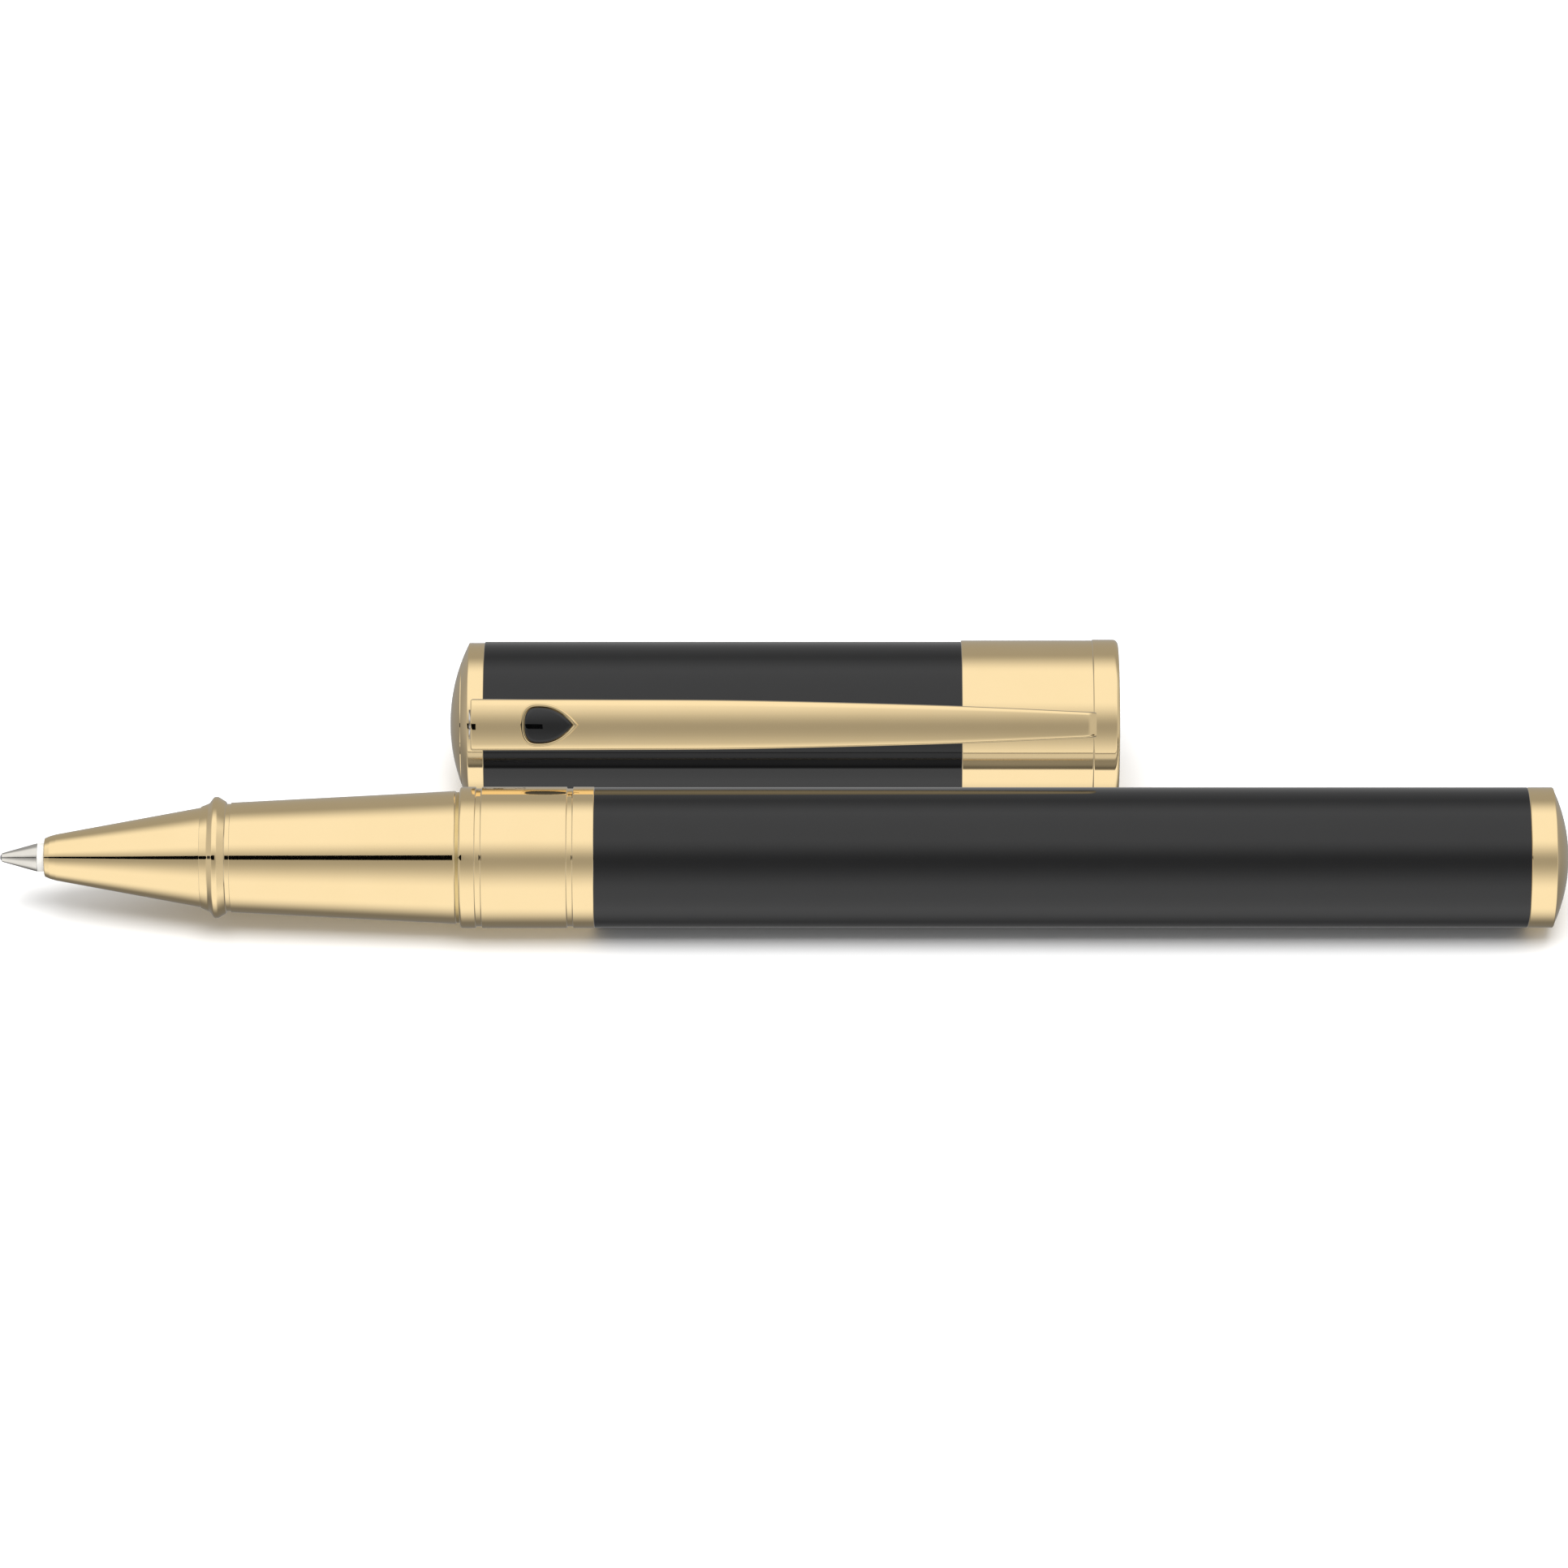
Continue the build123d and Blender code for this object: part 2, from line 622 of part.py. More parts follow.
def stone_outline(margin=0.0):
    """Outline of the clip's stone in plan, widened by a margin."""
    return shield(clip_front + stone_front, stone_length, stone_half_width, margin)


def clip_bezel():
    """Gilt rim that holds the stone on the clip, with a thin floor under the stone."""
    outer = extrude(stone_outline(bezel_wall), bezel_seat_depth + bezel_rise)
    rim = outer - Pos(0, 0, bezel_floor) * extrude(stone_outline(press_gap), 2)
    rim = fillet(rim.edges().group_by(Axis.Z)[-1], bezel_wall / 3)
    return Pos(0, 0, clip_top - bezel_seat_depth) * rim


def clip_stone():
    """Polished black stone of shield outline, with a softly domed face."""
    height = bezel_seat_depth + stone_rise
    middle = clip_front + stone_front + 0.45 * stone_length
    face = Pos(middle, 0, height - stone_dome_radius) * Sphere(stone_dome_radius)
    stone = extrude(stone_outline(), height) & face
    return Pos(0, 0, clip_top - bezel_seat_depth + bezel_floor + press_gap) * stone


pen_pieces = [
    barrel_tube, front_band, thread_bush, tail_ring, tail_dome, tail_plug, spring_seat, refill_spring,
    nose_cone, grip_collar, grip_sleeve, section_core, section_seal,
    tip_ball, tip_cone, refill_neck, ink_feed, ink_reservoir, refill_tube, refill_end_plug,
]
cap_pieces = [
    crown_dome, crown_ring, clip_pin, clip_spring, cap_tube, cap_band, cap_lip_ring, mouth_bush,
    clutch_ring, inner_cap, crown_screw, clip, clip_bezel, clip_stone,
]

os.makedirs("parts", exist_ok=True)
for make in pen_pieces:
    export_step(lay_pen(make()), f"parts/{make.__name__}.step")
for make in cap_pieces:
    export_step(lay_cap(make()), f"parts/{make.__name__}.step")
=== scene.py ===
"""Looks of a gilt and black rollerball pen lying in front of its cap, in a white studio."""

import json
import logging
import math
from dataclasses import dataclass, field
from enum import Enum

import bmesh
import bpy
from mathutils import Matrix, Vector

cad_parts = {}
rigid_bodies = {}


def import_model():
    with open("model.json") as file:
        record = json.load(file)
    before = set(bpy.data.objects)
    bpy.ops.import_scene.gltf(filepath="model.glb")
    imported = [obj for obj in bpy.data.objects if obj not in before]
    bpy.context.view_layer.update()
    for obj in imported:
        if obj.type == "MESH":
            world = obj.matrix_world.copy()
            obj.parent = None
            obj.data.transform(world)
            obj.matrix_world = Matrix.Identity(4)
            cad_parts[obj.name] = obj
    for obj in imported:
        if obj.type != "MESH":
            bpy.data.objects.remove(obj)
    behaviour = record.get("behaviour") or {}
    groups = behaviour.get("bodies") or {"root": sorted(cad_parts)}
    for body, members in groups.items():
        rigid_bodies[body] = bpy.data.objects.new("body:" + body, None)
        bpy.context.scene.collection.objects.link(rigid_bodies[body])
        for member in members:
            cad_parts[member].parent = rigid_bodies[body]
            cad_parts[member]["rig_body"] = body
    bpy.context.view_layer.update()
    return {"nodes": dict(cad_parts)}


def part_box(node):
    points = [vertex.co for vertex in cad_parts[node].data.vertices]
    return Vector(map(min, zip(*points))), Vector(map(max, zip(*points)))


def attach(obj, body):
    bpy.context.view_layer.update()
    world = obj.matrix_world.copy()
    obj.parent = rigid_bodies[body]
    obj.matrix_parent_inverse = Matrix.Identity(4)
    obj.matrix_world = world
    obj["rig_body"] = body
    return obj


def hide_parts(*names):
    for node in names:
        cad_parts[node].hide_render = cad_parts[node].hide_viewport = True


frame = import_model()

log = logging.getLogger("rollerball")

MM = 0.001
FULL_TURN = 2 * math.pi
STEPS = 192
SHARP_ANGLE = math.radians(34)

Colour = tuple[float, float, float]
Corner = tuple[float, ...]


class Slot(Enum):
    """Material slots of the pen."""

    LACQUER = "black_lacquer"
    GILT = "gilt"
    BRASS = "brass"
    STEEL = "steel"
    NICKEL = "nickel_silver"
    CARBIDE = "tungsten_carbide"
    WHITE = "white_plastic"
    BLACK = "black_plastic"
    RUBBER = "rubber"
    FIBRE = "fibre"
    REFILL = "refill_metal"
    ONYX = "onyx"


@dataclass(frozen=True)
class Finish:
    """How one material looks. The grain mixes two close colours and varies the roughness."""

    name: str
    colour: Colour
    shade: Colour
    metallic: float = 0.0
    roughness: float = 0.4
    spread: float = 0.05
    grain: float = 400.0
    stretch: Colour = (1.0, 1.0, 1.0)
    ior: float = 1.5
    coat: float = 0.0
    bump: float = 0.0

    def build(self) -> bpy.types.Material:
        """Makes the material from procedural nodes on Object coordinates.

        Returns:
            The new material.
        """
        material = bpy.data.materials.new(self.name)
        material.use_nodes = True
        nodes, links = material.node_tree.nodes, material.node_tree.links
        shader = nodes["Principled BSDF"]
        shader.inputs["Metallic"].default_value = self.metallic
        shader.inputs["IOR"].default_value = self.ior
        shader.inputs["Coat Weight"].default_value = self.coat
        shader.inputs["Coat Roughness"].default_value = 0.03
        place = nodes.new("ShaderNodeTexCoord")
        stretch = nodes.new("ShaderNodeMapping")
        stretch.inputs["Scale"].default_value = self.stretch
        noise = nodes.new("ShaderNodeTexNoise")
        noise.inputs["Scale"].default_value = self.grain
        noise.inputs["Detail"].default_value = 3.0
        links.new(place.outputs["Object"], stretch.inputs["Vector"])
        links.new(stretch.outputs["Vector"], noise.inputs["Vector"])
        tint = nodes.new("ShaderNodeValToRGB")
        tint.color_ramp.elements[0].position, tint.color_ramp.elements[1].position = 0.3, 0.7
        tint.color_ramp.elements[0].color = (*self.shade, 1.0)
        tint.color_ramp.elements[1].color = (*self.colour, 1.0)
        links.new(noise.outputs["Fac"], tint.inputs["Fac"])
        links.new(tint.outputs["Color"], shader.inputs["Base Color"])
        polish = nodes.new("ShaderNodeMapRange")
        polish.inputs["To Min"].default_value = max(self.roughness - self.spread, 0.0)
        polish.inputs["To Max"].default_value = self.roughness + self.spread
        links.new(noise.outputs["Fac"], polish.inputs["Value"])
        links.new(polish.outputs["Result"], shader.inputs["Roughness"])
        if self.bump:
            relief = nodes.new("ShaderNodeBump")
            relief.inputs["Strength"].default_value = 1.0
            relief.inputs["Distance"].default_value = self.bump * MM
            links.new(noise.outputs["Fac"], relief.inputs["Height"])
            links.new(relief.outputs["Normal"], shader.inputs["Normal"])
        return material


FINISHES: dict[Slot, Finish] = {
    Slot.GILT: Finish("gilt", (0.95, 0.74, 0.42), (0.94, 0.73, 0.41), 1.0, 0.045, 0.01, 260.0),
    Slot.LACQUER: Finish("black lacquer", (0.0016, 0.0016, 0.0018), (0.001, 0.001, 0.0012),
                         roughness=0.035, spread=0.008, grain=500.0, ior=1.55),
    Slot.ONYX: Finish("onyx", (0.002, 0.002, 0.0022), (0.0008, 0.0008, 0.001),
                      roughness=0.05, spread=0.015, grain=900.0, ior=1.62),
    Slot.BRASS: Finish("brass", (0.80, 0.60, 0.27), (0.74, 0.54, 0.23), 1.0, 0.24, 0.05, 700.0),
    Slot.STEEL: Finish("steel", (0.60, 0.60, 0.61), (0.54, 0.54, 0.55), 1.0, 0.22, 0.05, 700.0),
    Slot.NICKEL: Finish("nickel silver", (0.80, 0.77, 0.71), (0.74, 0.71, 0.65), 1.0, 0.13, 0.04, 700.0),
    Slot.CARBIDE: Finish("tungsten carbide", (0.46, 0.46, 0.48), (0.40, 0.40, 0.42), 1.0, 0.18, 0.04, 3000.0),
    Slot.WHITE: Finish("white plastic", (0.78, 0.77, 0.74), (0.73, 0.72, 0.69), roughness=0.38, grain=900.0),
    Slot.BLACK: Finish("black plastic", (0.018, 0.018, 0.019), (0.013, 0.013, 0.014), roughness=0.36,
                       grain=900.0, bump=0.004),
    Slot.RUBBER: Finish("rubber", (0.022, 0.022, 0.022), (0.015, 0.015, 0.015), roughness=0.62, grain=1500.0,
                        bump=0.008),
    Slot.FIBRE: Finish("ink-soaked fibre", (0.05, 0.05, 0.07), (0.02, 0.02, 0.035), roughness=0.85,
                       grain=2500.0, stretch=(0.12, 1.0, 1.0), bump=0.03),
    Slot.REFILL: Finish("refill metal", (0.72, 0.72, 0.73), (0.66, 0.66, 0.67), 1.0, 0.20, 0.05, 500.0,
                        stretch=(0.2, 1.0, 1.0)),
}


class Shelf:
    """Keeps one built material for each slot."""

    def __init__(self) -> None:
        """Starts with no material built."""
        self.built: dict[Slot, bpy.types.Material] = {}

    def get(self, slot: Slot) -> bpy.types.Material:
        """Finds or builds the material of a slot.

        Args:
            slot: The material slot.

        Returns:
            The slot's material.
        """
        if slot not in self.built:
            self.built[slot] = FINISHES[slot].build()
        return self.built[slot]


# ---- Outlines ------------------------------------------------------------------------------
def rounded(corners: list[Corner], closed: bool) -> list[tuple[float, float]]:
    """Rounds an outline's corners and adds close supports at the ends of long straights.

    Args:
        corners: (along, radius) or (along, radius, rounding) for each corner, in mm.
        closed: Whether the last corner joins the first.

    Returns:
        The outline's points, in mm.
    """
    points: list[tuple[float, float]] = []
    count = len(corners)
    for i, corner in enumerate(corners):
        here = Vector(corner[:2])
        size = corner[2] if len(corner) > 2 else 0.0
        if not closed and i in (0, count - 1):
            size = 0.0
        if not size:
            points.append(tuple(here))
            continue
        to_last = (Vector(corners[i - 1][:2]) - here)
        to_next = (Vector(corners[(i + 1) % count][:2]) - here)
        half = to_last.angle(to_next) / 2
        reach = size / math.tan(half)
        centre = here + (to_last.normalized() + to_next.normalized()).normalized() * (size / math.sin(half))
        first = here + to_last.normalized() * reach - centre
        last = here + to_next.normalized() * reach - centre
        sweep = first.angle_signed(last)
        parts = max(3, math.ceil(abs(sweep) / math.radians(9)))
        start = math.atan2(first.y, first.x)
        for k in range(parts + 1):
            turn = start - sweep * k / parts
            points.append((centre.x + size * math.cos(turn), centre.y + size * math.sin(turn)))
    return supported(points, closed)


def supported(points: list[tuple[float, float]], closed: bool,
              reach: float = 0.05) -> list[tuple[float, float]]:
    """Adds a point close to both ends of each long straight, so that its shading stays straight.

    Args:
        points: Outline points, in mm.
        closed: Whether the last point joins the first.
        reach: Distance of the added points from the ends, in mm.

    Returns:
        The points with the added ones.
    """
    result: list[tuple[float, float]] = []
    for i, point in enumerate(points):
        result.append(point)
        if i == len(points) - 1 and not closed:
            break
        here, there = Vector(point), Vector(points[(i + 1) % len(points)])
        length = (there - here).length
        if length > 6 * reach and max(here.y, there.y) > 0.2:
            step = (there - here) * (reach / length)
            result += [tuple(here + step), tuple(there - step)]
    return result


def dome_arc(apex: float, height: float, radius: float, side: int, start: float, end: float,
             parts: int) -> list[Corner]:
    """Points of a spherical cap's outline.

    Args:
        apex: Station of its highest point, in mm.
        height: Height of the cap, in mm.
        radius: Radius of its rim, in mm.
        side: -1 if it bulges towards lower stations, +1 if towards higher ones.
        start: Radius of the first point, in mm.
        end: Radius of the last point, in mm.
        parts: Number of steps between them.

    Returns:
        The points, in mm.
    """
    sphere = (radius**2 + height**2) / (2 * height)
    radii = [start + (end - start) * k / parts for k in range(parts + 1)]
    return [(apex - side * (sphere - math.sqrt(sphere**2 - r**2)), r) for r in radii]


def thread(start: float, end: float, crest: float, depth: float, pitch: float) -> list[Corner]:
    """Outline of a fine thread, as rings with sloped flanks.

    Args:
        start: First station, in mm.
        end: Last station, in mm.
        crest: Radius of the crests, in mm.
        depth: Depth of the thread, negative for an inner thread, in mm.
        pitch: Distance between crests, in mm.

    Returns:
        The corners, from start to end, in mm.
    """
    step = pitch if end > start else -pitch
    corners: list[Corner] = []
    for k in range(int(abs(end - start) / pitch)):
        at = start + step * k
        corners += [(at + 0.15 * step, crest), (at + 0.42 * step, crest - depth),
                    (at + 0.58 * step, crest - depth), (at + 0.85 * step, crest)]
    return corners


# ---- Meshes --------------------------------------------------------------------------------
@dataclass(frozen=True)
class Lie:
    """Where the pen or the cap lies: its own axis runs along +X from an origin, in mm."""

    origin: Vector
    roll: float = 0.0

    def matrix(self) -> Matrix:
        """Gives the move from the piece's own millimetres to metres in the frame.

        Returns:
            The matrix.
        """
        return Matrix.Scale(MM, 4) @ Matrix.Translation(self.origin) @ Matrix.Rotation(self.roll, 4, "X")

    def span(self, node: str) -> tuple[float, float]:
        """Measures where a node starts and ends along the axis.

        Args:
            node: Name of the node.

        Returns:
            Its first and last stations, in mm.
        """
        low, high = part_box(node)
        return low.x / MM - self.origin.x, high.x / MM - self.origin.x


def half_height(node: str) -> float:
    """Measures a turned node's radius.

    Args:
        node: Name of the node.

    Returns:
        Half of its extent along Y, in mm.
    """
    low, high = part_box(node)
    return (high.y - low.y) / 2 / MM


def closed_and_smooth(bm: bmesh.types.BMesh) -> None:
    """Merges doubles, turns all faces outwards and shades them smooth between sharp edges.

    Args:
        bm: The mesh to finish.
    """
    bmesh.ops.remove_doubles(bm, verts=bm.verts, dist=1e-4)
    bmesh.ops.dissolve_degenerate(bm, edges=bm.edges, dist=1e-5)
    bmesh.ops.recalc_face_normals(bm, faces=bm.faces)
    for face in bm.faces:
        face.smooth = True
    for edge in bm.edges:
        edge.smooth = len(edge.link_faces) == 2 and edge.calc_face_angle(0.0) < SHARP_ANGLE


def turned(outline: list[tuple[float, float]], closed: bool, steps: int = STEPS,
           gap: float = 0.0) -> bmesh.types.BMesh:
    """Spins an outline about the piece's own axis.

    Args:
        outline: Points of (along, radius), in mm.
        closed: Whether the outline's last point joins its first.
        steps: Number of steps in the turn.
        gap: Half angle left open at the top, in radians, for a split ring.

    Returns:
        The closed mesh, in mm about its own axis.
    """
    bm = bmesh.new()
    verts = [bm.verts.new((x, 0.0, r)) for x, r in outline]
    edges = [bm.edges.new(pair) for pair in zip(verts, verts[1:])]
    if closed:
        edges.append(bm.edges.new((verts[-1], verts[0])))
    geometry: list = verts + edges
    if gap:
        face = bmesh.ops.contextual_create(bm, geom=edges)["faces"][0]
        geometry = [face, *face.edges, *face.verts]
        bmesh.ops.rotate(bm, verts=bm.verts, cent=(0, 0, 0), matrix=Matrix.Rotation(gap, 3, "X"))
        bmesh.ops.spin(bm, geom=geometry, cent=(0, 0, 0), axis=(1, 0, 0), dvec=(0, 0, 0),
                       angle=FULL_TURN - 2 * gap, steps=steps, use_merge=False, use_duplicate=False)
    else:
        bmesh.ops.spin(bm, geom=geometry, cent=(0, 0, 0), axis=(1, 0, 0), dvec=(0, 0, 0),
                       angle=FULL_TURN, steps=steps, use_merge=True, use_duplicate=False)
    closed_and_smooth(bm)
    return bm


@dataclass
class Group:
    """Pieces that share an axis, and a body that they ride on unless told otherwise."""

    lie: Lie
    body: str
    shelf: Shelf
    pieces: list[bpy.types.Object] = field(default_factory=list)

    def keep(self, name: str, bm: bmesh.types.BMesh, slot: Slot, nodes: tuple[str, ...],
             body: str = "") -> bpy.types.Object:
        """Turns a finished mesh into a piece that stands for one or more nodes.

        Args:
            name: Name of the piece.
            bm: Its mesh, in mm on its own axis. It is freed.
            slot: Its material slot.
            nodes: The nodes it stands for.
            body: The body it rides on, if not the group's.

        Returns:
            The new object.
        """
        bmesh.ops.transform(bm, matrix=self.lie.matrix(), verts=bm.verts)
        mesh = bpy.data.meshes.new(name)
        bm.to_mesh(mesh)
        bm.free()
        mesh.materials.append(self.shelf.get(slot))
        piece = bpy.data.objects.new(name, mesh)
        bpy.context.scene.collection.objects.link(piece)
        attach(piece, body or self.body)
        if nodes:
            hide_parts(*nodes)
        self.pieces.append(piece)
        log.info("%s: %d faces, %s", name, len(mesh.polygons), slot.value)
        return piece

    def turn(self, name: str, corners: list[Corner], slot: Slot, node: str = "", closed: bool = True,
             body: str = "", gap: float = 0.0, steps: int = STEPS) -> bpy.types.Object:
        """Adds a turned piece.

        Args:
            name: Name of the piece.
            corners: Its outline's corners, in mm.
            slot: Its material slot.
            node: The node it stands for, if any.
            closed: Whether the outline's last corner joins its first.
            body: The body it rides on, if not the group's.
            gap: Half angle left open at the top, in radians.
            steps: Number of steps in the turn.

        Returns:
            The new object.
        """
        bm = turned(rounded(corners, closed), closed, steps, gap)
        return self.keep(name, bm, slot, (node,) if node else (), body)


def tube(start: float, end: float, outer: float, inner: float, size: float = 0.0) -> list[Corner]:
    """Corners of a plain tube.

    Args:
        start: First station, in mm.
        end: Last station, in mm.
        outer: Outer radius, in mm.
        inner: Inner radius, in mm.
        size: Rounding of the outer edges, in mm.

    Returns:
        The corners.
    """
    return [(start, inner), (start, outer, size), (end, outer, size), (end, inner)]


# ---- Pen -----------------------------------------------------------------------------------
@dataclass
class Barrel(Group):
    """Lacquered tube with its gilt band and tail."""

    wall: float = 0.965
    spigot_wall: float = 0.43
    groove_depth: float = 0.15
    groove_width: float = 0.55
    groove_places: tuple[float, float] = (1.6, 9.35)
    stud_radius: float = 2.0

    def build(self) -> None:
        """Builds the barrel's visible pieces."""
        start, end = self.lie.span("barrel_tube")
        band_start, band_end = self.lie.span("front_band")
        outer, band_outer = half_height("barrel_tube"), half_height("front_band")
        bore = outer - self.wall
        spigot = bore + self.spigot_wall
        self.turn("barrel_lacquer", [
            (start, bore), (start, spigot), (band_end, spigot), (band_end, outer, 0.07), (end, outer, 0.07),
            (end, bore)], Slot.LACQUER, "barrel_tube")
        lip_end, lip_bore = start - 0.05, bore - 0.05
        corners: list[Corner] = [(band_start, lip_bore), (band_start, band_outer, 0.24)]
        for place in self.groove_places:
            corners += self.groove(band_start + place, band_outer)
        corners += [(band_end, band_outer, 0.07), (band_end, spigot + 0.02), (lip_end, spigot + 0.02),
                    (lip_end, lip_bore)]
        self.turn("barrel_band", corners, Slot.GILT, "front_band")
        bush_start, bush_end = self.lie.span("thread_bush")
        bush_outer, bush_bore = half_height("thread_bush"), half_height("thread_bush") - 0.52
        self.turn("barrel_thread", [
            (bush_start, bush_bore), (bush_start, bush_outer), (bush_end, bush_outer), (bush_end, bush_bore),
            *thread(bush_end - 0.2, bush_start + 0.3, bush_bore, -0.2, 0.75)], Slot.BRASS, "thread_bush")
        ring_start, ring_end = self.lie.span("tail_ring")
        self.turn("tail_ring_gilt", tube(ring_start, ring_end, half_height("tail_ring"),
                                         self.stud_radius + 0.02, 0.12), Slot.GILT, "tail_ring")
        stud_start, apex = self.lie.span("tail_dome")
        rim = half_height("tail_dome")
        self.turn("tail_dome_gilt", [
            (stud_start, 0.0), (stud_start, self.stud_radius), (ring_end, self.stud_radius), (ring_end, rim),
            *dome_arc(apex, apex - ring_end, rim, 1, rim, 0.0, 36)[1:]], Slot.GILT, "tail_dome", closed=False)

    def groove(self, middle: float, outer: float) -> list[Corner]:
        """Corners of a rounded groove in the band.

        Args:
            middle: Station of its middle, in mm.
            outer: Radius of the band, in mm.

        Returns:
            The corners.
        """
        half, floor = self.groove_width / 2, outer - self.groove_depth
        return [(middle - half, outer, 0.03), (middle - half, floor, 0.11), (middle + half, floor, 0.11),
                (middle + half, outer, 0.03)]


@dataclass
class GripSection(Group):
    """Nose cone, collar and sleeve on their core."""

    refill_step_end: float = 15.0
    core_wall: float = 0.8
    core_bore: float = 3.15
    nose_spigot: float = 3.53
    nose_bore: float = 1.27

    def build(self) -> None:
        """Builds the section's pieces."""
        tip, nose_end = self.lie.span("nose_cone")
        collar_start, collar_end = self.lie.span("grip_collar")
        _, sleeve_end = self.lie.span("grip_sleeve")
        band_start, _ = self.lie.span("front_band")
        core_start, core_end = self.lie.span("section_core")
        sleeve_bore = self.core_bore + self.core_wall + 0.02
        front, ridge, rear = sleeve_bore + 0.69, half_height("grip_collar"), half_height("grip_sleeve")
        nose_rear, nose_front = half_height("nose_cone"), self.nose_bore + 0.7
        step_bore, step_end = 2.12, self.refill_step_end + 0.5 - self.core_bore + 2.12
        self.turn("nose_gilt", [
            (tip, self.nose_bore), (tip, nose_front - 0.34, 0.12), (tip + 0.48, nose_front - 0.14, 0.4),
            (tip + 1.0, nose_front, 0.5), (collar_start, nose_rear), (collar_start, self.nose_spigot),
            (nose_end, self.nose_spigot), (nose_end, self.core_bore), (self.refill_step_end, self.core_bore),
            (step_end, step_bore), (8.5, step_bore), (6.9, self.nose_bore)], Slot.GILT, "nose_cone")
        length = collar_end - collar_start
        groove, groove_start = front - 0.1, collar_end - 0.36
        self.turn("collar_gilt", [
            (collar_start, sleeve_bore), (collar_start, nose_rear + 0.08, 0.05),
            (collar_start + 0.28 * length, front - 0.06, 0.3), (collar_start + 0.44 * length, ridge, 0.2),
            (collar_start + 0.58 * length, ridge, 0.3), (groove_start - 0.06, front + 0.08, 0.06),
            (groove_start, groove, 0.03), (collar_end, groove), (collar_end, sleeve_bore)],
            Slot.GILT, "grip_collar")
        self.turn("sleeve_gilt", [
            (collar_end, sleeve_bore), (collar_end, front, 0.06), (sleeve_end, rear, 0.18),
            (sleeve_end, sleeve_bore)], Slot.GILT, "grip_sleeve")
        core, flange, screw = self.core_bore + self.core_wall, rear - 0.1, 4.40
        counterbore = self.nose_spigot + 0.02
        self.turn("section_brass", [
            (core_start, counterbore), (core_start, core), (sleeve_end, core), (sleeve_end, flange),
            (band_start, flange), (band_start, screw),
            *thread(band_start + 1.0, core_end - 0.3, screw, 0.2, 0.75),
            (core_end, screw - 0.15), (core_end, self.core_bore), (nose_end + 0.02, self.core_bore),
            (nose_end + 0.02, counterbore)], Slot.BRASS, "section_core")
        seal_start, seal_end = self.lie.span("section_seal")
        seal = half_height("section_seal")
        self.turn("section_rubber", tube(seal_start, seal_end, seal, screw + 0.02, 0.1),
                  Slot.RUBBER, "section_seal")


@dataclass
class Refill(Group):
    """Front of the refill: ball, metal tip and plastic neck."""

    neck: float = 1.21

    def build(self) -> None:
        """Builds the refill's visible pieces."""
        radius = half_height("tip_ball")
        bm = bmesh.new()
        bmesh.ops.create_uvsphere(bm, u_segments=48, v_segments=32, radius=radius,
                                  matrix=Matrix.Translation((radius, 0, 0))
                                  @ Matrix.Rotation(math.pi / 2, 4, "Y"))
        closed_and_smooth(bm)
        self.keep("ball", bm, Slot.CARBIDE, ("tip_ball",), body="tip_ball")
        start, end = self.lie.span("tip_cone")
        neck_start, neck_end = self.lie.span("refill_neck")
        shank, feed, socket = self.neck - 0.35, 0.42, radius + 0.02
        cup = [(radius + socket * math.sin(a), socket * math.cos(a))
               for a in (math.radians(t) for t in (35, 20, 5, -10, -25))]
        self.turn("tip_metal", [
            (start, 0.332), (start, 0.37), (2 * radius, 0.43 * self.neck, 0.2),
            (0.86 * neck_start, 0.91 * self.neck, 0.3), (neck_start, self.neck, 0.05), (neck_start, shank),
            (end, shank), (end, feed), (0.6, feed), *cup], Slot.NICKEL, "tip_cone", steps=96)
        hole, step, outer, spigot = shank + 0.02, 2.0, half_height("refill_neck"), 2.73
        self.turn("neck_plastic", [
            (neck_start, hole), (neck_start, self.neck, 0.04), (6.9, self.neck), (8.5, step), (15.0, step),
            (15.5, outer), (15.7, outer), (15.7, spigot), (neck_end, spigot), (neck_end, feed),
            (end + 0.02, feed), (end + 0.02, hole)], Slot.WHITE, "refill_neck", steps=96)


